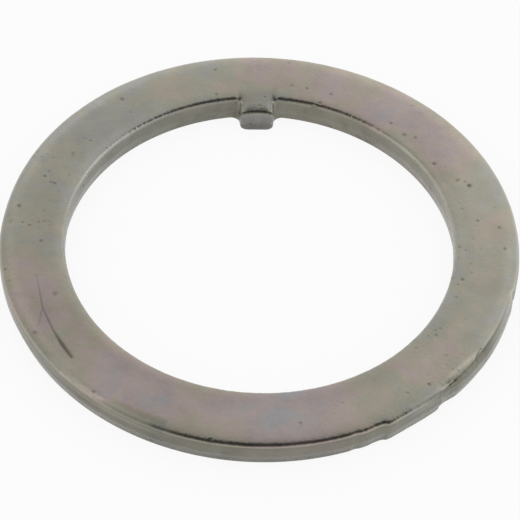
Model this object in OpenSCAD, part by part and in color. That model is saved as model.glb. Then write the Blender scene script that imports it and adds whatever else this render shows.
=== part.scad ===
// Sealing ring: one flat ring stamped from thick steel plate, with one locating tongue in its bore.
// It lies on its sharp side. Origin: on the bore axis, in the plane it lies on. The tongue stands on
// the +Y side of the bore and points to its axis. Both punched edges roll over at the top, run smooth
// below that, and break away towards the sharp side, as on a ring blanked and pierced in one stroke.

/* [Ring] */
// Outside diameter over the smooth band
ring_d = 68; // [62:0.5:90]
// Bore diameter over the smooth band
bore_d = 51; // [40:0.5:54]
// Thickness of the plate
plate_t = 4; // [3:0.1:6]

/* [Tongue] */
// Width of the tongue over its straight sides
tongue_w = 4.6; // [3.6:0.1:7]
// How far the tongue reaches in from the bore wall
tongue_reach = 2.3; // [1.6:0.1:4]
// Radius of the tongue's two end corners, seen from above, as the punch cut them
tongue_corner_r = 0.35; // [0.2:0.05:1]
// Radius of the same corners where the metal broke away below
tongue_broken_r = 0.8; // [0.4:0.05:1.1]
// Radius of the fillets where the tongue's sides leave the bore wall
tongue_root_r = 0.6; // [0.3:0.05:1]
// How much lower the middle of the tongue's end is drawn than the flat face
tongue_drop = 0.45; // [0.1:0.05:0.8]
// How much lower the tongue's sides are drawn than its middle line
tongue_crown = 0.5; // [0.3:0.05:0.7]
// Radius of the edge round the tongue's top
tongue_edge_r = 0.5; // [0.3:0.05:0.7]

/* [Punched edges] */
// Width of the rolled-over band inside the outer edge
outer_roll_w = 1.7; // [1:0.1:2.5]
// Drop of that band at the outer wall
outer_roll_h = 0.2; // [0.05:0.05:0.5]
// Width of the rolled-over band round the bore
bore_roll_w = 1.7; // [1.2:0.1:2.5]
// Drop of that band at the bore wall
bore_roll_h = 0.2; // [0.05:0.05:0.5]
// Radius where a rolled-over band turns down into its wall
edge_r = 0.7; // [0.2:0.05:0.8]
// Height of the rough, sloping broken band, up from the sharp side
broken_h = 1.7; // [0.8:0.1:2.2]
// How far the outer wall breaks inward over that height
outer_break = 0.48; // [0.1:0.02:0.7]
// How far the bore wall opens over that height
bore_break = 0.34; // [0.1:0.02:0.7]

/* [Hidden] */
$fn = 180;
zinc = [0.58, 0.56, 0.53];
past = 1; // how far cutting shapes run past what they cut
lift = 0.01; // how far the round of the tongue's end stands off its top, so that the two faces cross
ring_r = ring_d / 2;
bore_r = bore_d / 2;
half_w = tongue_w / 2;
tip_y = bore_r - tongue_reach;
root_y = bore_r + bore_roll_w;
run = root_y - tip_y;
plane_slope = atan(tongue_drop / run);
crown_slope = atan((tongue_drop + tongue_crown + tongue_edge_r) / run);
crown_z = plate_t + (run - tongue_edge_r) * (tan(crown_slope) - tan(plane_slope));
break_lean = atan(bore_break / broken_h);
fillet_x = half_w + tongue_root_r;
fillet_at = [fillet_x, sqrt(pow(bore_r - tongue_root_r, 2) - fillet_x * fillet_x)];

// Radius of an arc that falls by h over a run of w, starting level
function fall_r(w, h) = (w * w + h * h) / (2 * h);

// Height of the centre of the tight arc that ends such a fall at a wall, from the level start
function turn_h(w, h, r) = sqrt(pow(fall_r(w, h) - r, 2) - pow(w - r, 2)) - fall_r(w, h);

// What a rolled-over edge takes off the square corner of a wall that stands at x = 0, with the metal
// on the -x side and the flat face at y = 0: a long arc over the band, then a tight one into the wall
module edge_waste(w, h, r) {
    long_r = fall_r(w, h);
    turn_y = turn_h(w, h, r);
    tangent = [-w, -long_r] + [w - r, turn_y + long_r] * long_r / (long_r - r);
    difference() {
        translate([-w, -long_r / 2]) square([w + past, long_r / 2 + past]);
        translate([-w, -long_r]) circle(r = long_r);
        translate([-w - past, -long_r]) square([w + past, long_r + tangent.y]);
    }
    difference() {
        translate([tangent.x, turn_y]) square([past - tangent.x, past - turn_y]);
        translate([-r, turn_y]) circle(r = r);
    }
}

// What a rounded edge takes off a square corner at the origin, with the metal on the -x, -y side
module corner_waste(r) {
    difference() {
        translate([-r, -r]) square(r + past);
        translate([-r, -r]) circle(r = r);
    }
}

// Half section of the ring, in its radial plane
module ring_section() {
    difference() {
        polygon([
            [bore_r + bore_break, 0],
            [ring_r - outer_break, 0],
            [ring_r, broken_h],
            [ring_r, plate_t],
            [bore_r, plate_t],
            [bore_r, broken_h]
        ]);
        translate([ring_r, plate_t]) edge_waste(outer_roll_w, outer_roll_h, edge_r);
        translate([bore_r, plate_t]) mirror([1, 0]) edge_waste(bore_roll_w, bore_roll_h, edge_r);
    }
}

// Outline of the tongue from above, its two end corners rounded by r
module tongue_outline(r) {
    translate([-half_w, tip_y + r]) square([tongue_w, run - r]);
    translate([r - half_w, tip_y]) square([tongue_w - 2 * r, run]);
    for (side = [-1, 1]) translate([side * (half_w - r), tip_y + r]) circle(r = r);
}

// The tongue as the punch cut it: straight down all round
module tongue_smooth() {
    linear_extrude(height = plate_t + past) tongue_outline(tongue_corner_r);
}

// The tongue as it broke: the same end, but leaning back below the smooth band, with rounder corners
module tongue_broken() {
    translate([0, tip_y, broken_h]) rotate([break_lean, 0, 0]) translate([0, -tip_y, -plate_t])
        linear_extrude(height = 2 * plate_t + past) tongue_outline(tongue_broken_r);
}

// A bar that runs along the tongue from behind the crease to past its end. Its top line stands at
// crease_z over the crease and falls at slope; its section is given with that line at y = 0.
module drawn_bar(crease_z, slope) {
    translate([0, root_y, crease_z]) rotate([90 + slope, 0, 0])
        translate([0, 0, -past]) linear_extrude(height = run + 3 * past) children();
}

// The tongue's top: a plane pressed down from the crease to the end at the full width, with rounded
// side edges
module tongue_plane() {
    drawn_bar(plate_t, plane_slope) difference() {
        translate([-half_w - past, -plate_t]) square([tongue_w + 2 * past, plate_t]);
        for (side = [0, 1]) mirror([side, 0]) translate([half_w, 0]) corner_waste(tongue_edge_r);
    }
}

// A crowned top that falls more steeply than the plane, and so draws down only the end's corners
module tongue_crown_top() {
    drawn_bar(crown_z, crown_slope) difference() {
        translate([-half_w - past, -2 * plate_t]) square([tongue_w + 2 * past, 2 * plate_t]);
        for (side = [0, 1]) mirror([side, 0]) translate([half_w, 0])
            edge_waste(half_w, tongue_crown, tongue_edge_r);
    }
}

// What the rounded edge takes off the end of the tongue's top, following its crown
module tongue_end_waste() {
    crown_r = fall_r(half_w, tongue_crown);
    axis_z = plate_t - tongue_drop - crown_r;
    turn_r = crown_r + tongue_edge_r * (tan(plane_slope) - 1 / cos(plane_slope)) + lift;
    translate([0, tip_y, axis_z]) rotate([-90, 0, 0]) rotate_extrude() difference() {
        translate([turn_r, -past]) square([past, past + tongue_edge_r]);
        translate([turn_r, tongue_edge_r]) circle(r = tongue_edge_r);
    }
}

// Fillet between the bore wall and one side of the tongue, its top edge rounded. Where the bore wall
// breaks back below it, the fillet follows with a slanting web.
module root_fillet() {
    wall_at = fillet_at * (1 + tongue_root_r / norm(fillet_at));
    inner_x = fillet_at.x - tongue_root_r - bore_break;
    root_z = plate_t - (root_y - fillet_at.y) * tan(plane_slope);
    turn_z = root_z - tongue_edge_r;
    difference() {
        linear_extrude(height = root_z) polygon([
            [inner_x, fillet_at.y],
            fillet_at,
            wall_at,
            wall_at + [bore_break, bore_break],
            [inner_x, wall_at.y + bore_break]
        ]);
        translate(fillet_at) {
            translate([0, 0, -past]) cylinder(h = plate_t + 2 * past, r = tongue_root_r);
            rotate_extrude() difference() {
                translate([0, turn_z]) square([tongue_root_r + tongue_edge_r, tongue_edge_r + past]);
                translate([tongue_root_r + tongue_edge_r, turn_z]) circle(r = tongue_edge_r);
            }
        }
    }
}

// What the press takes off the rolled-over band in front of the crease, across both root fillets
module press_waste() {
    intersection() {
        drawn_bar(plate_t, plane_slope) translate([-fillet_x, 0]) square([2 * fillet_x, past]);
        translate([-fillet_x, tip_y, 0]) cube([2 * fillet_x, run, plate_t + past]);
    }
}

// The whole tongue, with a fillet on each side of its root
module tongue() {
    difference() {
        intersection() {
            tongue_smooth();
            tongue_broken();
            tongue_plane();
            tongue_crown_top();
        }
        tongue_end_waste();
    }
    for (side = [0, 1]) mirror([side, 0, 0]) root_fillet();
}

module ring() {
    color(zinc) {
        difference() {
            rotate_extrude() ring_section();
            press_waste();
        }
        tongue();
    }
}

ring();
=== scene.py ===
"""A stamped sealing ring with one locating tongue, laid out as an add-on.

The ring is one Geometry Nodes sweep: the section that a punch and die leave, laid at every station
between the outside circle and the outline of the bore, which runs round the tongue. Its finish is
one procedural material, zinc plate under a thin passivation film.
"""

import math

import bpy
from mathutils import Matrix, Vector


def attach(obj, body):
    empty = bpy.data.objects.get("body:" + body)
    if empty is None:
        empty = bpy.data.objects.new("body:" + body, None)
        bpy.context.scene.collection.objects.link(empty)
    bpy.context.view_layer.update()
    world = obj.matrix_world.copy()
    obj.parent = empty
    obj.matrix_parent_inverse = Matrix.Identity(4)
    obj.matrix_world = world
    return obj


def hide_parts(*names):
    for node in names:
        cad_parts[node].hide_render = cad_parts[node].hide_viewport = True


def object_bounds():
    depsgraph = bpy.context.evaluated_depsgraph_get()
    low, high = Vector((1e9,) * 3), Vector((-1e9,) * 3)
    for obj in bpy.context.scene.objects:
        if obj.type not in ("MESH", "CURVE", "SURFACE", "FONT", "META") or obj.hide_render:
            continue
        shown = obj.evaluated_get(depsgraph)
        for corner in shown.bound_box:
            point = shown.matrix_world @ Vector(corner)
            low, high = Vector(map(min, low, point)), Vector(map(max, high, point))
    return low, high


bl_info = {
    "name": "Stamped sealing ring",
    "version": (1, 0, 0),
    "blender": (4, 5, 0),
    "location": "3D View > Sidebar > Ring",
    "description": "Builds a stamped, zinc-plated sealing ring with one tongue, and a plain stage",
    "category": "Add Mesh",
}

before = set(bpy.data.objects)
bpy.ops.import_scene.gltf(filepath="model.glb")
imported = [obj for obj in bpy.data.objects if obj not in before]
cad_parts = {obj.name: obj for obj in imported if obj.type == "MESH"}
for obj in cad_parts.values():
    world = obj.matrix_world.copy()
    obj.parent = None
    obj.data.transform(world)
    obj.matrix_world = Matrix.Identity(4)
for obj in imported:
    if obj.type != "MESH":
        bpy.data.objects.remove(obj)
CAD_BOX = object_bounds()
CAD_LOW, CAD_HIGH = CAD_BOX

MM = 0.001

# Rows of faces across each part of the section, and stations round it
STATIONS = 1440
WALL_ROWS = 11
EDGE_ROWS = 8
FACE_ROWS = 20
BASE_ROWS = 6


# ---------------------------------------------------------------------------------------------
# Node trees written as sums

# Where a Mix node keeps its factor and its two colours, and the colour that it gives
COLOUR_INPUTS = (0, 6, 7)
COLOUR_RESULT = 2


class Term:
    """A socket that can be added, multiplied and compared like a number."""

    def __init__(self, sheet, socket):
        self.sheet, self.socket = sheet, socket

    def __add__(self, other):
        return self.sheet.math("ADD", self, other)

    def __radd__(self, other):
        return self.sheet.math("ADD", other, self)

    def __sub__(self, other):
        return self.sheet.math("SUBTRACT", self, other)

    def __rsub__(self, other):
        return self.sheet.math("SUBTRACT", other, self)

    def __mul__(self, other):
        return self.sheet.math("MULTIPLY", self, other)

    def __truediv__(self, other):
        return self.sheet.math("DIVIDE", self, other)

    def __neg__(self):
        return self.sheet.math("MULTIPLY", self, -1.0)

    def __gt__(self, other):
        return self.sheet.math("GREATER_THAN", self, other)

    def __lt__(self, other):
        return self.sheet.math("LESS_THAN", self, other)


class Sheet:
    """A node tree, geometry or shader, with short ways to add the nodes that both kinds share."""

    def __init__(self, tree):
        self.tree = tree

    def node(self, kind, **settings):
        made = self.tree.nodes.new(kind)
        for name, value in settings.items():
            setattr(made, name, value)
        return made

    def put(self, socket, value):
        if isinstance(value, Term):
            self.tree.links.new(value.socket, socket)
        else:
            socket.default_value = value

    def out(self, node, name):
        return Term(self, node.outputs[name])

    def fill(self, node, **values):
        """Sets a node's inputs by name, an underscore standing for a space."""
        for name, value in values.items():
            self.put(node.inputs[name.replace("_", " ")], value)
        return node

    def math(self, operation, *terms):
        made = self.node("ShaderNodeMath", operation=operation)
        for socket, term in zip(made.inputs, terms):
            self.put(socket, term)
        return self.out(made, "Value")

    def sin(self, angle):
        return self.math("SINE", angle)

    def cos(self, angle):
        return self.math("COSINE", angle)

    def root(self, value):
        return self.math("SQRT", value)

    def power(self, value, exponent):
        return self.math("POWER", value, exponent)

    def least(self, a, b):
        return self.math("MINIMUM", a, b)

    def most(self, a, b):
        return self.math("MAXIMUM", a, b)

    def magnitude(self, value):
        return self.math("ABSOLUTE", value)

    def span(self, value, low, high, smooth=False):
        """0 below low, 1 above high, and a straight or smooth ramp between them."""
        made = self.node("ShaderNodeMapRange", clamp=True)
        made.interpolation_type = "SMOOTHSTEP" if smooth else "LINEAR"
        for name, term in (("Value", value), ("From Min", low), ("From Max", high)):
            self.put(made.inputs[name], term)
        return self.out(made, "Result")

    def between(self, value, low, high):
        return self.least(self.most(value, low), high)

    def mix(self, factor, a, b):
        return a + (b - a) * factor

    def bump_at(self, value, middle, width):
        """A soft hump of height 1 at the middle, down to 1/e a width away."""
        off = (value - middle) / width
        return self.math("EXPONENT", -(off * off))

    def vector(self, x, y, z):
        made = self.node("ShaderNodeCombineXYZ")
        for socket, term in zip(made.inputs, (x, y, z)):
            self.put(socket, term)
        return self.out(made, "Vector")

    def parts(self, vector):
        made = self.node("ShaderNodeSeparateXYZ")
        self.put(made.inputs[0], vector)
        return [Term(self, socket) for socket in made.outputs]

    def vector_math(self, operation, a, b=None, scale=None):
        made = self.node("ShaderNodeVectorMath", operation=operation)
        self.put(made.inputs[0], a)
        if b is not None:
            self.put(made.inputs[1], b)
        if scale is not None:
            self.put(made.inputs["Scale"], scale)
        return self.out(made, "Vector")

    def stretch(self, vector, sizes):
        return self.vector_math("MULTIPLY", vector, sizes)

    def noise(self, vector, scale, detail=2.0, roughness=0.5, warp=0.0):
        made = self.node("ShaderNodeTexNoise", noise_dimensions="3D")
        self.fill(made, Vector=vector, Scale=scale, Detail=detail, Roughness=roughness)
        self.fill(made, Distortion=warp)
        return self.out(made, "Fac")

    def blend(self, factor, a, b):
        """Colour a turned into colour b by the factor."""
        made = self.node("ShaderNodeMix", data_type="RGBA")
        for place, value in zip(COLOUR_INPUTS, (factor, a, b)):
            self.put(made.inputs[place], value)
        return Term(self, made.outputs[COLOUR_RESULT])

    def curve(self, value, points):
        """A float curve through the points, for a value that follows a listed line."""
        made = self.node("ShaderNodeFloatCurve")
        line = made.mapping.curves[0]
        low, high = points[0][0], points[-1][0]
        placed = [((x - low) / (high - low), y) for x, y in points]
        line.points[0].location, line.points[1].location = placed[0], placed[-1]
        for x, y in placed[1:-1]:
            line.points.new(x, y)
        made.mapping.update()
        self.put(made.inputs["Value"], self.span(value, low, high))
        return self.out(made, "Value")


# ---------------------------------------------------------------------------------------------
# The ring's form

SIZES = (
    ("outside_diameter", "Outside Diameter"),
    ("bore_diameter", "Bore Diameter"),
    ("thickness", "Thickness"),
    ("tongue_width", "Tongue Width"),
    ("tongue_reach", "Tongue Reach"),
    ("corner_radius", "Corner Radius"),
    ("broken_corner", "Broken Corner"),
    ("root_radius", "Root Radius"),
    ("broken_root", "Broken Root"),
    ("tongue_drop", "Tongue Drop"),
    ("tongue_crown", "Tongue Crown"),
    ("tongue_edge_radius", "Tongue Edge Radius"),
    ("roll_width", "Roll Width"),
    ("roll_height", "Roll Height"),
    ("edge_radius", "Edge Radius"),
    ("broken_height", "Broken Height"),
    ("outer_break", "Outer Break"),
    ("bore_break", "Bore Break"),
    ("wear_depth", "Wear Depth"),
    ("bruise_depth", "Bruise Depth"),
)

# How steeply the face rolls over: the fall grows as this power of the way to the edge
ROLL_POWER = 2.6

# Where the face's slope at an edge is taken, as a share of the edge radius in from the wall
SLOPE_AT = 0.8

# How the torn band closes up to the smooth one, and the tongue's sides fall away to its corners
TEAR_POWER = 0.85
CROWN_POWER = 2.2

# How far a bruise reaches in, as a share of the roll width, and how steeply it falls
BRUISE_REACH = 1.15
BRUISE_POWER = 1.3

# Noise round the ring, in cells per unit of its direction
ROUGH_SCALE = 9.0
FINE_SCALE = 60.0
ROUGH_SEED = 3.0

# Points nearer than this, in metres, are one point
WELD = 1e-7

# How far the outside stands off the true circle on its way round, clockwise from the tongue, as
# (turn, share of the wear depth) with 0.5 for none
OUTSIDE_WEAR = (
    (0.0, 0.5),
    (0.10, 0.55),
    (0.17, 0.68),
    (0.24, 0.6),
    (0.28, 0.5),
    (0.5, 0.5),
    (0.66, 0.5),
    (0.72, 0.6),
    (0.76, 0.42),
    (0.79, 0.25),
    (0.82, 0.3),
    (0.87, 0.4),
    (0.92, 0.5),
    (1.0, 0.5),
)

# The same for the bitten stretch at the front right, drawn finer
BITTEN_EDGE = (
    (0.2780, 0.5),
    (0.2900, 0.42),
    (0.2920, 0.38),
    (0.2935, 0.1),
    (0.2955, 0.1),
    (0.2985, 0.34),
    (0.3030, 0.6),
    (0.3090, 0.6),
    (0.3180, 0.7),
    (0.3300, 0.82),
    (0.3410, 0.92),
    (0.3475, 0.8),
    (0.3570, 0.76),
    (0.3660, 0.68),
    (0.3705, 0.6),
    (0.3745, 0.34),
    (0.3775, 0.16),
    (0.3805, 0.0),
    (0.3830, 0.02),
    (0.3855, 0.3),
    (0.3878, 0.5),
    (0.3920, 0.48),
    (0.4050, 0.42),
    (0.4130, 0.54),
    (0.4190, 0.72),
    (0.4245, 0.84),
    (0.4258, 0.7),
    (0.4280, 0.36),
    (0.4310, 0.28),
    (0.4350, 0.38),
    (0.4410, 0.54),
    (0.4440, 0.4),
    (0.4460, 0.36),
    (0.4490, 0.5),
    (0.4520, 0.5),
)

# Where the outer edge has been knocked down, as (turn, share of the bruise depth)
EDGE_BRUISE = (
    (0.28, 0.0),
    (0.30, 0.0),
    (0.335, 0.45),
    (0.36, 1.0),
    (0.380, 0.95),
    (0.386, 0.5),
    (0.396, 0.1),
    (0.42, 0.0),
    (0.45, 0.0),
)


def root_centre(s, size, fillet):
    """Where the root fillet's centre stands right of the tongue, and its lean off the +Y axis."""
    x = size["Tongue Width"] / 2.0 + fillet
    inner = size["Bore Diameter"] / 2.0 - fillet
    y = s.root(inner * inner - x * x)
    return x, y, s.math("ARCTAN2", x, y)


def bore_outline(s, size, reach, corner, fillet):
    """A point on the bore's outline, reach along it from the middle of the tongue's end.

    The outline runs along the end, round a corner, up the side, round the root fillet and along the
    bore. Returns x, y, the angle its normal towards the hole has turned from straight down, its
    whole length, and the shares of the corner and of the root fillet that are behind the point.
    """
    half = size["Tongue Width"] / 2.0
    bore = size["Bore Diameter"] / 2.0
    tip = bore - size["Tongue Reach"]
    _, fillet_y, lean = root_centre(s, size, fillet)
    lengths = (
        half - corner,
        corner * (math.pi / 2),
        fillet_y - tip - corner,
        fillet * (lean + math.pi / 2),
        bore * (math.pi - lean),
    )
    start = 0.0
    gone = []
    for length in lengths:
        gone.append(s.between(reach - start, 0.0, length))
        start = length + start
    turn, turn_back, along = gone[1] / corner, gone[3] / fillet, gone[4] / bore
    x = (
        gone[0]
        + corner * s.sin(turn)
        + fillet * (1.0 - s.cos(turn_back))
        + bore * (s.sin(lean + along) - s.sin(lean))
    )
    y = (
        tip
        + corner * (1.0 - s.cos(turn))
        + gone[2]
        + fillet * s.sin(turn_back)
        + bore * (s.cos(lean + along) - s.cos(lean))
    )
    return x, y, turn - turn_back - along, start, gone[1] / lengths[1], gone[3] / lengths[3]


def ring_tree():
    """The ring as a sweep of its section, with one named input for each size."""
    tree = bpy.data.node_groups.new("Stamped Ring", "GeometryNodeTree")
    for _, label in SIZES:
        socket = tree.interface.new_socket(label, in_out="INPUT", socket_type="NodeSocketFloat")
        socket.subtype = "DISTANCE"
    tree.interface.new_socket("Seed", in_out="INPUT", socket_type="NodeSocketFloat")
    tree.interface.new_socket("Material", in_out="INPUT", socket_type="NodeSocketMaterial")
    tree.interface.new_socket("Geometry", in_out="OUTPUT", socket_type="NodeSocketGeometry")
    s = Sheet(tree)
    given = s.node("NodeGroupInput")
    size = {label: s.out(given, label) for _, label in SIZES}
    outside, bore = size["Outside Diameter"] / 2.0, size["Bore Diameter"] / 2.0
    half, thick = size["Tongue Width"] / 2.0, size["Thickness"]
    roll_w, roll_h = size["Roll Width"], size["Roll Height"]

    # A sheet of stations by rows, and how far each point is along each part of the section
    marks = [0]
    for count in (WALL_ROWS, EDGE_ROWS, FACE_ROWS, EDGE_ROWS, WALL_ROWS, BASE_ROWS):
        marks.append(marks[-1] + count)
    rows = marks[-1]
    grid = s.fill(s.node("GeometryNodeMeshGrid"), Size_X=1.0, Size_Y=1.0)
    s.fill(grid, Vertices_X=STATIONS + 1, Vertices_Y=rows + 1)
    x, y, _ = s.parts(s.out(s.node("GeometryNodeInputPosition"), "Position"))
    turn, row = x + 0.5, (y + 0.5) * float(rows)
    rise, bend, across, bend_out, fall, under = (
        s.span(row, float(a), float(b)) for a, b in zip(marks, marks[1:])
    )
    across = across * across * (3.0 - across * 2.0)
    is_base = row > (marks[5] + 0.5)

    # The two outlines that the section is laid between, the bore's rounder where it broke away
    up = s.span(rise * (1.0 - is_base), 0.05, 0.6, smooth=True)
    corner = s.mix(up, size["Broken Corner"], size["Corner Radius"])
    fillet = s.mix(up, size["Broken Root"], size["Root Radius"])
    half_way = turn - 0.5
    side = -s.math("SIGN", half_way)
    _, _, _, length, _, _ = bore_outline(s, size, 0.0, corner, fillet)
    reach = (1.0 - s.magnitude(half_way) * 2.0) * length
    in_x, in_y, heading, _, past_corner, past_root = bore_outline(s, size, reach, corner, fillet)
    in_x = in_x * side
    normal_x, normal_y = s.sin(heading) * side, -s.cos(heading)
    angle = turn * (2 * math.pi)
    out_x, out_y = s.sin(angle), s.cos(angle)

    # How ragged the metal is at this station
    station = s.vector(out_x, out_y, s.out(given, "Seed"))
    rough = s.noise(station, ROUGH_SCALE, detail=4.0, roughness=0.6) - 0.5
    fine = s.noise(station, FINE_SCALE, detail=3.0, roughness=0.6) - 0.5
    edge_in = s.mix(past_root, size["Tongue Edge Radius"], size["Edge Radius"])
    edge_in = edge_in * (1.0 + (rough * 0.6 + fine * 0.4) * past_root)
    edge_out = size["Edge Radius"] * (1.0 + rough * 0.4 + fine * 0.3)
    bruise = s.curve(turn, EDGE_BRUISE) * size["Bruise Depth"]
    wear = s.curve(turn, OUTSIDE_WEAR) + s.curve(turn, BITTEN_EDGE) - 1.0
    wear = wear * 2.0 * size["Wear Depth"]

    # A wall and the edge over it, as inset from the outline and height
    steep = s.power(1.0 - size["Edge Radius"] * SLOPE_AT / roll_w, ROLL_POWER - 1.0)
    slope = s.math("ARCTANGENT", roll_h * ROLL_POWER / roll_w * steep)

    def wall(rising, turned, radius, broken, top):
        start = radius * (1.0 - s.sin(slope))
        rolled = roll_h * s.power(1.0 - start / roll_w, ROLL_POWER)
        foot = top - rolled - radius * s.cos(slope)
        height = foot * rising
        ragged = size["Broken Height"] * (1.0 + rough * 0.5 + fine * 0.3)
        tear = s.power(s.most(1.0 - height / ragged, 0.0), TEAR_POWER)
        sweep = (math.pi / 2 - slope) * turned
        return broken * tear + radius * (1.0 - s.cos(sweep)), height + radius * s.sin(sweep)

    def drop_at(px, py):
        """How far the tongue's top lies below the flat face: a sloping plane, its corners lower."""
        crease = bore + roll_w
        gone = s.most((crease - py) / (roll_w + size["Tongue Reach"]), 0.0)
        beside = 1.0 - s.span(s.magnitude(px), half * 0.98, half + roll_w * 0.45, smooth=True)
        aside = s.least(s.magnitude(px) / half, 1.15)
        crowned = size["Tongue Crown"] * s.power(gone * aside, CROWN_POWER)
        down = size["Tongue Drop"] * gone + crowned
        return down * beside * (py > 0.0)

    torn = past_root + (1.0 - past_root) * s.power(s.cos(past_corner * (math.pi / 2)), 2.0)
    start_in = edge_in * (1.0 - s.sin(slope))
    top_in = thick - drop_at(in_x - normal_x * start_in, in_y - normal_y * start_in)
    not_base = 1.0 - is_base
    break_in, break_out = size["Bore Break"] * torn, size["Outer Break"]
    inset_in, high_in = wall(rise * not_base, bend * not_base, edge_in, break_in, top_in)
    inset_out, high_out = wall(1.0 - fall, 1.0 - bend_out, edge_out, break_out, thick - bruise)
    bore_x, bore_y = in_x - normal_x * inset_in, in_y - normal_y * inset_in
    rim = outside + wear - inset_out
    outward = across - under
    px, py = s.mix(outward, bore_x, out_x * rim), s.mix(outward, bore_y, out_y * rim)

    # The flat face, rolled over along both edges and drawn down over the tongue
    radius = s.root(px * px + py * py)
    box_x = s.magnitude(px) - (half - corner)
    box_y = (bore - size["Tongue Reach"] + corner) - py
    beyond_x, beyond_y = s.most(box_x, 0.0), s.most(box_y, 0.0)
    corner_off = s.root(beyond_x * beyond_x + beyond_y * beyond_y)
    to_tongue = corner - corner_off - s.least(s.most(box_x, box_y), 0.0)
    root_x, root_y, lean = root_centre(s, size, size["Root Radius"])
    aside, above = s.magnitude(px) - root_x, py - root_y
    to_root = s.root(aside * aside + above * above) - size["Root Radius"]
    on_ring = s.most(aside > (above * s.math("TANGENT", lean)), py < 0.0)
    to_bore = s.mix(on_ring, s.mix(above > 0.0, to_tongue, to_root), radius - bore)
    near_in = s.most(1.0 - to_bore / roll_w, 0.0)
    to_rim = outside + wear - radius
    near_out = s.most(1.0 - to_rim / roll_w, 0.0)
    knocked = s.power(s.most(1.0 - to_rim / (roll_w * BRUISE_REACH), 0.0), BRUISE_POWER)
    rolled = roll_h * (s.power(near_in, ROLL_POWER) + s.power(near_out, ROLL_POWER))
    face_z = thick - rolled - drop_at(px, py) - bruise * knocked

    on_bore = row < (marks[2] - 0.5)
    on_rim = row > (marks[3] + 0.5)
    high = s.mix(on_bore, s.mix(on_rim, face_z, high_out * (1.0 - is_base)), high_in)

    # Marked before it is moved, while the stations and rows can still be read from the sheet
    wall_share = s.most(1.0 - bend, bend_out)
    marked = s.out(grid, "Mesh")
    chain = (
        ("GeometryNodeStoreNamedAttribute", {"Name": "wall", "Value": wall_share}),
        ("GeometryNodeSetPosition", {"Position": s.vector(px, py, high)}),
        ("GeometryNodeMergeByDistance", {"Distance": WELD}),
        ("GeometryNodeSetShadeSmooth", {}),
        ("GeometryNodeRealizeInstances", {}),
        ("GeometryNodeSetMaterial", {"Material": s.out(given, "Material")}),
        ("NodeGroupOutput", {}),
    )
    for kind, values in chain:
        link = s.fill(s.node(kind), **values)
        s.put(link.inputs["Geometry"], marked)
        if link.outputs:
            marked = s.out(link, "Geometry")
    return tree


def plain_mesh(name, tree, values):
    """A mesh object made by a node tree, with the modifier gone and its place in its mesh."""
    grown = bpy.data.objects.new(name + " nodes", bpy.data.meshes.new(name + " nodes"))
    bpy.context.scene.collection.objects.link(grown)
    made = grown.modifiers.new("Nodes", "NODES")
    made.node_group = tree
    for item in tree.interface.items_tree:
        if item.item_type == "SOCKET" and item.in_out == "INPUT":
            made[item.identifier] = values[item.name]
    graph = bpy.context.evaluated_depsgraph_get()
    mesh = bpy.data.meshes.new_from_object(grown.evaluated_get(graph))
    bpy.data.objects.remove(grown)
    piece = bpy.data.objects.new(name, mesh)
    bpy.context.scene.collection.objects.link(piece)
    return piece


# ---------------------------------------------------------------------------------------------
# The finish

# The film's colour order, from green through yellow and pink to blue, by its place in the ramp
FILM_ORDER = (
    (0.08, "teal"),
    (0.28, "olive"),
    (0.46, "straw"),
    (0.60, "pink"),
    (0.76, "mauve"),
    (0.92, "slate"),
)

# The film's thickness on its way round, clockwise from the tongue
FILM_ROUND = (
    (0.0, 0.48),
    (0.05, 0.56),
    (0.12, 0.60),
    (0.19, 0.52),
    (0.25, 0.44),
    (0.29, 0.32),
    (0.36, 0.42),
    (0.42, 0.46),
    (0.45, 0.70),
    (0.49, 0.84),
    (0.53, 0.58),
    (0.57, 0.70),
    (0.62, 0.66),
    (0.68, 0.52),
    (0.75, 0.40),
    (0.80, 0.22),
    (0.87, 0.16),
    (0.93, 0.34),
    (1.0, 0.48),
)

# Where highlights are painted on the rolled bands, round the bore and round the outside
INNER_BAND_HIGHLIGHT = (
    (0.0, 0.0),
    (0.07, 0.0),
    (0.12, 0.35),
    (0.2, 0.4),
    (0.3, 0.25),
    (0.4, 0.15),
    (0.5, 0.1),
    (0.62, 0.2),
    (0.72, 0.2),
    (0.82, 0.5),
    (0.9, 0.4),
    (0.95, 0.0),
    (1.0, 0.0),
)
OUTER_BAND_HIGHLIGHT = (
    (0.0, 0.15),
    (0.1, 0.35),
    (0.2, 0.25),
    (0.3, 0.5),
    (0.4, 0.0),
    (0.55, 0.0),
    (0.6, 0.3),
    (0.68, 0.55),
    (0.75, 0.3),
    (0.85, 0.7),
    (0.93, 0.4),
    (1.0, 0.15),
)

# Where a highlight is painted along the crest of the bore's edge
CREST_HIGHLIGHT = (
    (0.0, 0.0),
    (0.08, 0.0),
    (0.11, 0.7),
    (0.16, 0.9),
    (0.24, 0.7),
    (0.32, 0.3),
    (0.45, 0.0),
    (0.6, 0.0),
    (0.72, 0.4),
    (0.80, 0.7),
    (0.87, 0.7),
    (0.91, 0.2),
    (0.94, 0.0),
    (1.0, 0.0),
)

# Where the outer edge is broken away, so that the wall begins higher up
BROKEN_EDGE = (
    (0.30, 0.0),
    (0.335, 0.8),
    (0.345, 1.0),
    (0.385, 1.0),
    (0.398, 0.5),
    (0.410, 0.0),
    (0.42, 0.0),
)

# Where the outer edge is made less metallic and painted lighter, a painted highlight, so that no
# dark line stands in it
DULL_LIT_EDGE = (
    (0.384, 0.0),
    (0.389, 0.9),
    (0.407, 0.9),
    (0.411, 0.0),
    (0.545, 0.0),
    (0.556, 0.2),
    (0.566, 0.4),
    (0.573, 1.0),
    (0.62, 1.0),
    (0.65, 0.0),
)

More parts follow.
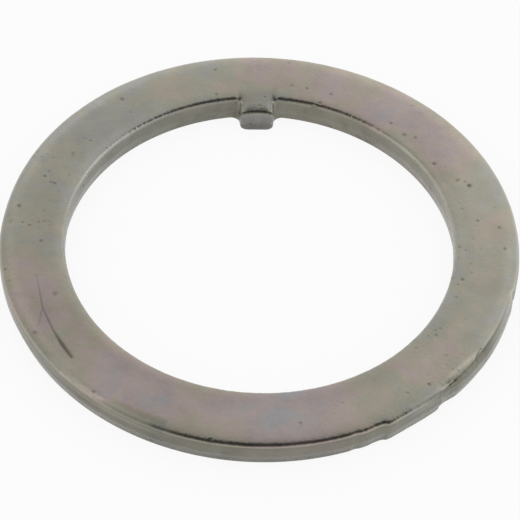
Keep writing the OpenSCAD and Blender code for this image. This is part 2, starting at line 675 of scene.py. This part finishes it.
# Lines drawn on the plate, each a run of (x, y, half width, strength) in mm
SCRATCHES = (
    (
        (-28.84, -6.98, 0.10, 0.25),
        (-28.39, -9.49, 0.12, 0.4),
        (-27.83, -12.48, 0.14, 0.55),
    ),
    (
        (-27.83, -12.48, 0.14, 0.5),
        (-26.31, -16.15, 0.16, 0.6),
        (-25.09, -18.41, 0.30, 1.0),
        (-23.85, -20.39, 0.24, 0.9),
    ),
    (
        (-27.83, -12.48, 0.16, 0.4),
        (-28.23, -15.43, 0.12, 0.25),
    ),
)
# Painted reflection: a dark line along the bitten outer edge at the front right, where the dark
# room shows in the edge
DARK_EDGE_REFLECTION = (
    (
        (27.45, -18.70, 0.09, 0.5),
        (26.95, -19.55, 0.11, 0.9),
        (26.55, -20.45, 0.08, 0.4),
        (25.60, -21.80, 0.10, 0.8),
        (24.65, -22.85, 0.11, 0.9),
        (23.45, -24.05, 0.15, 1.2),
        (22.40, -25.00, 0.10, 0.7),
    ),
)
# Painted highlights: pale strokes along the outer edge, at the front right beside the dark line and
# at the front left
EDGE_HIGHLIGHT_STROKES = (
    (
        (32.40, -8.20, 0.25, 0.2),
        (31.30, -11.80, 0.34, 0.5),
        (30.20, -14.60, 0.38, 0.7),
        (29.00, -16.70, 0.34, 0.7),
        (27.70, -18.60, 0.28, 0.6),
        (26.00, -20.40, 0.30, 0.9),
        (24.50, -21.90, 0.30, 0.9),
        (23.50, -22.80, 0.28, 0.7),
        (22.40, -24.00, 0.22, 0.3),
    ),
    (
        (-25.15, -22.67, 0.3, 0.6),
        (-23.27, -24.28, 0.28, 0.7),
        (-21.42, -25.95, 0.26, 0.9),
        (-19.94, -26.90, 0.22, 0.8),
    ),
)

# The middle radius and half width of the rolled bands where highlights are painted
INNER_BAND_AT = (26.3 * MM, 0.75 * MM)
OUTER_BAND_AT = (32.7 * MM, 0.7 * MM)

# The face from the bore to the outside
FACE_RADII = (25.5 * MM, 34.0 * MM)

# Noise in the plate, in cells per metre
GRAIN_SCALE = 2400.0
SPECK_SCALE = 900.0
FILM_FINE_SCALE = 520.0
MOTTLE_SCALE = 420.0
PATCH_SCALE = 260.0
FILM_SCALE = 150.0
CLOUD_SCALE = 120.0
DRIFT_SCALE = 60.0

# How much of the walls' colour is the dull plate, and how much bluer the tongue's end is
WALL_DULLNESS = 0.7
TIP_BLUE = (0.02, 0.03, 0.17)

# How the plate's bumps stand
BUMP_STRENGTH = 0.3
BUMP_DISTANCE = 0.2 * MM

# Single pits in the face, as (x, y, radius, depth) in mm
PITS = (
    (-18.65, 24.95, 0.30, 0.7),
    (-31.73, 4.98, 0.28, 0.8),
    (28.15, 9.14, 0.32, 1.0),
    (10.26, 26.26, 0.25, 0.6),
    (18.30, 20.73, 0.25, 0.7),
    (19.97, 18.55, 0.30, 0.6),
    (21.44, 18.00, 0.25, 0.6),
    (23.71, 13.14, 0.28, 0.8),
    (31.54, 1.63, 0.26, 0.6),
    (-5.81, 30.92, 0.25, 0.5),
    (-26.36, -10.15, 0.40, 0.5),
    (-28.55, -16.57, 0.30, 0.5),
)


def drawn(s, x, y, lines):
    """How strongly the given lines show at a point of the face."""
    shown = 0.0
    for line in lines:
        for (ax, ay, aw, ad), (bx, by, bw, bd) in zip(line, line[1:]):
            run_x, run_y = (bx - ax) * MM, (by - ay) * MM
            off_x, off_y = x - ax * MM, y - ay * MM
            along = (off_x * run_x + off_y * run_y) / (run_x * run_x + run_y * run_y)
            along = s.between(along, 0.0, 1.0)
            gap_x, gap_y = off_x - along * run_x, off_y - along * run_y
            wide = (along * (bw - aw) + aw) * MM
            near = s.math("EXPONENT", -((gap_x * gap_x + gap_y * gap_y) / (wide * wide)))
            shown = s.most(near * (along * (bd - ad) + ad), shown)
    return shown


def pit_depth(s, x, y):
    """How deep the single pits are at a point of the face."""
    deep = 0.0
    for px, py, radius, depth in PITS:
        off_x, off_y = x - px * MM, y - py * MM
        near = s.math("EXPONENT", -((off_x * off_x + off_y * off_y) / (radius * MM) ** 2))
        deep = near * depth + deep
    return deep


def zinc_plate(look):
    """Zinc plate under a thin passivation film: satin, mottled in hue, pitted and stained, with
    painted highlights, painted shade and a painted dark reflection at its edges.
    """
    made = bpy.data.materials.new("Passivated zinc plate")
    made.use_nodes = True
    s = Sheet(made.node_tree)
    shader = made.node_tree.nodes["Principled BSDF"]
    where = s.out(s.node("ShaderNodeTexCoord"), "Object")
    x, y, z = s.parts(where)
    bend = s.out(s.node("ShaderNodeAttribute", attribute_name="wall"), "Fac")
    turn = s.math("FRACT", s.math("ARCTAN2", x, y) / (2 * math.pi) + 1.0)
    radius = s.root(x * x + y * y)
    broken = s.curve(turn, BROKEN_EDGE) * s.span(radius, 33.4 * MM, 33.6 * MM)
    wall = s.most(s.span(bend, 0.45, 1.0), broken)
    out = s.span(radius, *FACE_RADII)

    grain = s.noise(where, GRAIN_SCALE, detail=3.0, roughness=0.6)
    mottle = s.noise(where, MOTTLE_SCALE, detail=3.0, roughness=0.6)
    cloud = s.noise(where, CLOUD_SCALE, detail=2.0, roughness=0.5)
    film = s.noise(where, FILM_SCALE, detail=3.0, roughness=0.5, warp=0.4)
    drawn_out = s.stretch(where, (1.0, 1.0, 0.4))
    film_fine = s.noise(drawn_out, FILM_FINE_SCALE, detail=2.0, roughness=0.6)

    # A stroke of greener film beside the left end of the front edge line
    patch = s.span(turn, 0.558, 0.5595) * (1.0 - s.span(turn, 0.583, 0.6))
    patch = patch * s.span(radius, 32.0 * MM, 32.6 * MM)

    ramp = s.node("ShaderNodeValToRGB")
    stops = ramp.color_ramp.elements
    stops[0].position, stops[1].position = FILM_ORDER[0][0], FILM_ORDER[-1][0]
    for place, _ in FILM_ORDER[1:-1]:
        stops.new(place)
    for stop, (_, name) in zip(stops, FILM_ORDER):
        stop.color = (*getattr(look, name), 1.0)
    rim_share = s.power(s.magnitude(out * 2.0 - 1.0), 2.5)
    thickness = s.curve(turn, FILM_ROUND) + (film - 0.5) * 1.1 + (film_fine - 0.5) * 0.6
    s.put(ramp.inputs[0], thickness - rim_share * 0.2 - patch * 0.25)

    # Dark pits, the long scratches and single pits, a painted dark reflection on the bitten edge,
    # and painted edge highlights
    cells = s.node("ShaderNodeTexVoronoi", feature="F1")
    s.fill(cells, Vector=where, Scale=SPECK_SCALE, Randomness=1.0)
    chosen = s.noise(where, PATCH_SCALE, detail=1.0) + s.noise(where, DRIFT_SCALE, detail=1.0) * 0.5
    chosen = chosen + s.bump_at(radius, 27.9 * MM, 1.6 * MM) * s.span(y / radius, -0.3, 0.4) * 0.1
    specks = 1.0 - s.span(s.out(cells, "Distance"), 0.12, 0.34, smooth=True)
    specks = specks * s.span(chosen, 0.86, 0.98)
    on_face = 1.0 - s.span(bend, 0.2, 0.8)
    cuts_and_dark_line = (drawn(s, x, y, SCRATCHES) + pit_depth(s, x, y)) * on_face
    # Painted reflection: the dark edge line is added to the real scratches and pits, and darkens,
    # roughens and dents with them
    cuts_and_dark_line = cuts_and_dark_line + drawn(s, x, y, DARK_EDGE_REFLECTION) * (1.0 - wall)
    dark = s.least(specks * 0.5 + cuts_and_dark_line, 1.3)
    # Painted highlight along the outer edges
    highlit = drawn(s, x, y, EDGE_HIGHLIGHT_STROKES) * (1.0 - wall)

    # The face is brighter towards its outer edge at the back right, and duller at the front left
    lift = x / radius * s.span(out, 0.1, 0.5) * 0.5 + y / radius * out * out
    tone = (1.0 + lift * look.lift) * (0.94 + out * 0.09)
    # Painted highlights on the rolled bands along both edges
    bands = s.curve(turn, INNER_BAND_HIGHLIGHT) * s.bump_at(radius, *INNER_BAND_AT)
    bands = bands + s.curve(turn, OUTER_BAND_HIGHLIGHT) * s.bump_at(radius, *OUTER_BAND_AT)
    tone = tone * (1.0 + bands * (0.6 + mottle * 0.8) * look.band_light)
    tone = tone * (1.0 + (cloud - 0.5) * 0.3 + (mottle - 0.5) * 0.22 + (grain - 0.5) * 0.12)
    front = s.span(y / radius, -0.5, -0.9)
    within = 1.0 - s.span(out, 0.1, 0.45)
    middle = s.bump_at(out, 0.5, 0.4)
    tone = tone * (1.0 - front * within * 0.08) * (1.0 + front * middle * 0.05)
    tone = tone * (1.0 - s.bump_at(turn, 0.0625, 0.08) * (1.0 - within) * 0.07)
    tone = tone * (1.0 + s.bump_at(turn, 0.19, 0.08) * middle * 0.07)
    # Painted highlight along the crest of the bore's edge, on the face and on the wall
    crest_highlight = s.bump_at(bend, 0.7, 0.3) * (1.0 - s.span(radius, 26.4 * MM, 26.9 * MM))
    crest_highlight = crest_highlight * s.curve(turn, CREST_HIGHLIGHT) * (0.5 + mottle)
    tone = tone * (1.0 + crest_highlight * 0.25)
    tone = tone * (1.0 - dark * 0.62) * (1.0 + highlit * 0.4) * (1.0 - patch * 0.14)
    face = s.vector_math("SCALE", s.out(ramp, "Color"), scale=tone)

    # The walls: duller, olive, stained in patches that gather towards the foot, and with painted
    # shade towards the foot
    low = 1.0 - s.span(z, 0.0, 3.0 * MM)
    stain = s.span(s.noise(where, PATCH_SCALE, detail=3.0, roughness=0.6), 0.5, 0.72) * (0.35 + low)
    inner = 1.0 - s.span(radius, 24.0 * MM, 25.2 * MM)
    torn = 1.0 - s.span(z, 1.3 * MM, 1.9 * MM)
    torn = s.most(torn, s.bump_at(turn, 0.3862, 0.0022)) * s.span(radius, 32.6 * MM, 33.0 * MM)
    wall_tone = 1.0 + (cloud - 0.5) * 0.3 + (mottle - 0.5) * 0.4 + x * 3.0
    # Painted shade: the walls darken towards the foot, most on the tongue
    wall_tone = wall_tone * (1.0 - stain * 0.3) * (1.0 - low * (0.04 + inner * 0.3))
    wall_tone = wall_tone * (1.0 + inner * 0.22)
    aside = s.magnitude(x)
    # Painted highlight along the top corners of the tongue's sides
    flank_highlight = s.bump_at(aside, 2.3 * MM, 0.35 * MM) * s.span(z, 1.7 * MM, 2.4 * MM)
    flank_highlight = flank_highlight * s.span(y, 23.3 * MM, 23.8 * MM) * (1.0 - s.span(y, 25.0 * MM, 25.7 * MM))
    tip = (1.0 - s.span(aside, 2.1 * MM, 2.4 * MM)) * (1.0 - s.span(y, 23.4 * MM, 23.7 * MM))
    tip = tip * (y > 0.0)
    # Painted highlight where the outer edge is made less metallic, in place of the dark reflected
    # line
    dull_and_lit = s.curve(turn, DULL_LIT_EDGE) * s.span(radius, 32.9 * MM, 33.3 * MM)
    dull_and_lit = dull_and_lit * s.span(z, 2.6 * MM, 3.1 * MM)
    # Painted shade on the front rim just below the dark edge line
    shade = s.bump_at(bend, 0.82, 0.12) * (1.0 - s.span(bend, 0.95, 1.0))
    shade = shade * s.span(y / radius, -0.6, -0.9)
    wall_tone = wall_tone * (1.0 - torn * 0.12) * (1.0 - shade * 0.4) * (1.0 + crest_highlight * 0.45)
    wall_tone = wall_tone * (1.0 + flank_highlight * 0.8) * (1.0 + dull_and_lit * 0.4)
    tint = s.vector_math("SCALE", s.out(ramp, "Color"), scale=0.48)
    side = s.blend(WALL_DULLNESS, tint, (*look.wall_olive, 1.0))
    side = s.vector_math("SCALE", side, scale=wall_tone)
    side = s.stretch(side, s.vector(*(tip * share + 1.0 for share in TIP_BLUE)))
    s.put(shader.inputs["Base Color"], s.blend(wall, face, side))
    shader.inputs["Specular IOR Level"].default_value = 0.2
    s.put(shader.inputs["Metallic"], 1.0 - flank_highlight * 0.7 - dull_and_lit * 0.6 - torn * 0.8 - crest_highlight * 0.4)
    s.put(shader.inputs["Roughness"], look.roughness + (mottle - 0.5) * 0.2 + dark * 0.2)
    height = grain * 0.5 + mottle * 1.0 + cloud * 1.5 - dark * 2.0
    bump = s.fill(s.node("ShaderNodeBump"), Strength=BUMP_STRENGTH, Distance=BUMP_DISTANCE)
    s.fill(bump, Height=height)
    s.put(shader.inputs["Normal"], s.out(bump, "Normal"))
    return made


# ---------------------------------------------------------------------------------------------
# The stage

# How far the floor lies below the ring's underside
FLOOR_GAP = 0.02 * MM

# The camera's lens and sensor in mm, its near and far limits and its place in metres, and which
# way its right and its top point
LENS, SENSOR = 155.3, 36.0
NEAR, FAR = 0.01, 10.0
CAMERA_AT = (-0.00901, -0.19465, 0.22357)
CAMERA_RIGHT = (0.999509, -0.015675, 0.027101)
CAMERA_UP = (-0.005914, 0.755531, 0.655086)


def plain_floor(look):
    """A wide pale floor under the ring, as bright as the room where nothing shades it."""
    half = look.floor_size / 2.0
    mesh = bpy.data.meshes.new("Floor")
    corners = [(-half, -half, 0.0), (half, -half, 0.0), (half, half, 0.0), (-half, half, 0.0)]
    mesh.from_pydata(corners, [], [(0, 1, 2, 3)])
    mesh.transform(Matrix.Translation((0.0, 0.0, CAD_LOW.z - FLOOR_GAP)))
    floor = bpy.data.objects.new("Floor", mesh)
    bpy.context.scene.collection.objects.link(floor)
    made = bpy.data.materials.new("Pale floor")
    made.use_nodes = True
    tree = made.node_tree
    tree.nodes.clear()
    s = Sheet(tree)
    path = s.node("ShaderNodeLightPath")
    passed_on = s.most(s.out(path, "Is Glossy Ray"), s.out(path, "Is Transmission Ray"))
    seen = s.most(s.out(path, "Is Camera Ray"), passed_on)
    matt = s.node("ShaderNodeBsdfDiffuse")
    matt.inputs["Color"].default_value = (*look.floor_colour, 1.0)
    white = s.node("ShaderNodeEmission")
    blend = s.node("ShaderNodeMixShader")
    s.put(blend.inputs[0], seen * look.floor_lift)
    tree.links.new(matt.outputs[0], blend.inputs[1])
    tree.links.new(white.outputs[0], blend.inputs[2])
    end = s.node("ShaderNodeOutputMaterial")
    tree.links.new(blend.outputs[0], end.inputs[0])
    mesh.materials.append(made)
    return floor


def studio_world(look):
    """A pale room, brightest at the horizon, with an unlit oval high up behind the viewer."""
    world = bpy.data.worlds.new("Studio")
    bpy.context.scene.world = world
    world.use_nodes = True
    tree = world.node_tree
    tree.nodes.clear()
    s = Sheet(tree)
    path = s.node("ShaderNodeLightPath")
    ray = s.out(s.node("ShaderNodeTexCoord"), "Generated")
    x, y, z = s.parts(ray)
    high = look.dark_height
    near_x = x * math.cos(look.dark_turn) + y * math.sin(look.dark_turn)
    near_y = y * math.cos(look.dark_turn) - x * math.sin(look.dark_turn)
    ahead = s.most(z * math.sin(high) - near_y * math.cos(high), 0.01)
    above = (z * math.cos(high) + near_y * math.sin(high)) / (ahead * math.tan(look.dark_tall))
    beside = near_x / (ahead * math.tan(look.dark_wide))
    outward = s.root(above * above + beside * beside)
    fade = s.span(above, 0.1, -0.5) * (look.low_edge - look.dark_edge) + look.dark_edge
    lit = s.span(outward, 1.0 - fade, fade * 0.3 + look.dark_edge * 0.7 + 1.0, smooth=True)
    glow = s.span(s.magnitude(x) * 0.92 + z * 0.38, 0.86, 1.0, smooth=True)
    room = (1.0 + x * look.side_lift - z * look.top_fall + glow * look.side_glow) * look.room_level
    level = s.mix(s.out(path, "Is Glossy Ray"), 1.0, s.mix(lit, look.dark_level, room))
    back = s.node("ShaderNodeBackground")
    s.put(back.inputs["Strength"], level)
    end = s.node("ShaderNodeOutputWorld")
    tree.links.new(back.outputs[0], end.inputs[0])


def camera():
    """The view from the front, half way up, with the tongue at the back."""
    data = bpy.data.cameras.new("Camera")
    data.sensor_width, data.lens = SENSOR, LENS
    data.clip_start, data.clip_end = NEAR, FAR
    made = bpy.data.objects.new("Camera", data)
    right, up = Vector(CAMERA_RIGHT), Vector(CAMERA_UP)
    axes = Matrix((right, up, right.cross(up))).transposed().to_4x4()
    made.matrix_world = Matrix.Translation(CAMERA_AT) @ axes
    bpy.context.scene.collection.objects.link(made)
    bpy.context.scene.camera = made


# ---------------------------------------------------------------------------------------------
# Settings


def distance(name, description, default):
    return bpy.props.FloatProperty(
        name=name,
        description=description,
        default=default,
        min=0.0,
        precision=5,
        unit="LENGTH",
        subtype="DISTANCE",
    )


def colour(name, description, default):
    return bpy.props.FloatVectorProperty(
        name=name, description=description, default=default, min=0.0, max=1.0, subtype="COLOR"
    )


def share(name, description, default):
    return bpy.props.FloatProperty(
        name=name, description=description, default=default, min=0.0, soft_max=2.0, subtype="FACTOR"
    )


def turned(name, description, default):
    return bpy.props.FloatProperty(
        name=name, description=description, default=math.radians(default), subtype="ANGLE"
    )


class RingSizes(bpy.types.PropertyGroup):
    """The ring's sizes."""

    outside_diameter: distance(
        "Outside Diameter", "Across the ring's outer wall", CAD_HIGH.x - CAD_LOW.x
    )
    bore_diameter: distance("Bore Diameter", "Across the bore, away from the tongue", 51 * MM)
    thickness: distance(
        "Thickness", "Height of the flat face above the floor", CAD_HIGH.z - CAD_LOW.z
    )
    tongue_width: distance("Tongue Width", "Over the tongue's straight sides", 4.6 * MM)
    tongue_reach: distance(
        "Tongue Reach", "How far the tongue stands in from the bore wall", 2.3 * MM
    )
    corner_radius: distance(
        "Corner Radius", "Of the tongue's end corners where the punch cut them", 0.35 * MM
    )
    broken_corner: distance(
        "Broken Corner", "Of the same corners where the metal broke away", 1.25 * MM
    )
    root_radius: distance(
        "Root Radius", "Of the fillets at the tongue's root where the punch cut them", 0.4 * MM
    )
    broken_root: distance(
        "Broken Root", "Of the same fillets where the metal broke away", 1.1 * MM
    )
    tongue_drop: distance(
        "Tongue Drop", "How far the tongue's end is drawn below the flat face", 0.45 * MM
    )
    tongue_crown: distance(
        "Tongue Crown", "How much lower the end's corners are drawn than its middle", 0.68 * MM
    )
    tongue_edge_radius: distance(
        "Tongue Edge Radius", "Of the edge round the tongue's top", 0.72 * MM
    )
    roll_width: distance(
        "Roll Width", "How far in from an edge the face starts to roll over", 1.7 * MM
    )
    roll_height: distance("Roll Height", "How far the face has rolled over at an edge", 0.3 * MM)
    edge_radius: distance("Edge Radius", "Of the tight edge under the rolled face", 0.66 * MM)
    broken_height: distance(
        "Broken Height", "Height of the torn band at the foot of a wall", 1.7 * MM
    )
    outer_break: distance(
        "Outer Break", "How far the torn band draws in on the outer wall", 0.48 * MM
    )
    bore_break: distance(
        "Bore Break", "How far the torn band draws back on the bore wall", 0.34 * MM
    )
    wear_depth: distance("Wear Depth", "Most that wear moves the outer wall", 0.26 * MM)
    bruise_depth: distance("Bruise Depth", "Most that the outer edge is knocked down", 0.2 * MM)


class RingFinish(bpy.types.PropertyGroup):
    """The plate's colours."""

    teal: colour("Teal", "The film where it is thinnest", (0.416, 0.410, 0.380))
    olive: colour("Olive", "The film where it is green", (0.430, 0.418, 0.345))
    straw: colour("Straw", "The film where it is yellow", (0.468, 0.422, 0.346))
    pink: colour("Pink", "The film where it is pink", (0.498, 0.416, 0.386))
    mauve: colour("Mauve", "The film where it is purple", (0.464, 0.401, 0.392))
    slate: colour("Slate", "The film where it is thickest", (0.420, 0.406, 0.408))
    roughness: share("Roughness", "How satin the plate is", 0.28)
    wall_olive: colour("Wall Olive", "The duller plate of the walls", (0.205, 0.198, 0.160))
    lift: share("Lift", "How much brighter the outer edge is at the back", 0.15)
    # Strength of the painted highlights on the rolled bands
    band_light: share(
        "Band Light", "How much brighter the rolled bands are where they are rubbed", 0.3
    )


class StageLook(bpy.types.PropertyGroup):
    """The floor, the room and its light."""

    floor_size: distance("Floor Size", "Length of the floor's side", 6.0)
    floor_colour: colour("Floor Colour", "The floor's own colour", (0.93, 0.93, 0.93))
    floor_lift: share("Floor Lift", "White mixed into the floor as it is seen", 0.9)
    room_level: share("Room Level", "How bright the room is at the horizon", 1.18)
    dark_level: share("Dark Level", "How bright the unlit oval is", 0.055)
    side_lift: share("Side Lift", "How much brighter the room is on the right", 0.15)
    top_fall: share("Top Fall", "How much darker the room is overhead", 0.4)
    side_glow: share("Side Glow", "How much brighter the room is low down on either side", 0.25)
    dark_turn: turned("Dark Turn", "How far the unlit oval stands to the right", 5)
    dark_height: turned("Dark Height", "How high the unlit oval stands above the horizon", 57)
    dark_tall: turned("Dark Tall", "Half the height of the unlit oval", 42)
    dark_wide: turned("Dark Wide", "Half the width of the unlit oval", 48)
    dark_edge: share("Dark Edge", "How softly the unlit oval ends, as a share of its size", 0.28)
    low_edge: share("Low Edge", "How softly it ends towards the horizon", 0.75)


class RING_OT_build(bpy.types.Operator):
    """Build the stamped ring with its tongue, in its plated finish"""

    bl_idname = "ring.build"
    bl_label = "Build Ring"

    def execute(self, context):
        sizes, finish = context.scene.ring_sizes, context.scene.ring_finish
        material = zinc_plate(finish)
        values = {label: getattr(sizes, name) for name, label in SIZES}
        values.update({"Seed": ROUGH_SEED, "Material": material})
        piece = plain_mesh("plated_ring", ring_tree(), values)
        if not piece.data.polygons:
            raise RuntimeError("the ring's node tree gave no faces")
        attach(piece, "root")
        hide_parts("ring")
        return {"FINISHED"}


class RING_OT_stage(bpy.types.Operator):
    """Set the pale floor, the soft studio light and the camera"""

    bl_idname = "ring.stage"
    bl_label = "Set Stage"

    def execute(self, context):
        look = context.scene.ring_stage
        plain_floor(look)
        studio_world(look)
        camera()
        context.scene.view_settings.view_transform = "Standard"
        return {"FINISHED"}


class RING_PT_panel(bpy.types.Panel):
    """The ring's sizes, finish and stage"""

    bl_label = "Sealing Ring"
    bl_space_type = "VIEW_3D"
    bl_region_type = "UI"
    bl_category = "Ring"

    def draw(self, context):
        layout = self.layout
        layout.use_property_split = True
        groups = (
            ("ring.build", context.scene.ring_sizes, context.scene.ring_finish),
            ("ring.stage", context.scene.ring_stage),
        )
        for operator, *settings in groups:
            box = layout.box()
            box.operator(operator)
            for group in settings:
                for name in group.__annotations__:
                    box.prop(group, name)


CLASSES = (RingSizes, RingFinish, StageLook, RING_OT_build, RING_OT_stage, RING_PT_panel)


def register():
    for made in CLASSES:
        bpy.utils.register_class(made)
    bpy.types.Scene.ring_sizes = bpy.props.PointerProperty(type=RingSizes)
    bpy.types.Scene.ring_finish = bpy.props.PointerProperty(type=RingFinish)
    bpy.types.Scene.ring_stage = bpy.props.PointerProperty(type=StageLook)


def unregister():
    for name in ("ring_stage", "ring_finish", "ring_sizes"):
        delattr(bpy.types.Scene, name)
    for made in reversed(CLASSES):
        bpy.utils.unregister_class(made)


def main():
    register()
    bpy.ops.ring.build()
    bpy.ops.ring.stage()


if __name__ == "__main__":
    main()
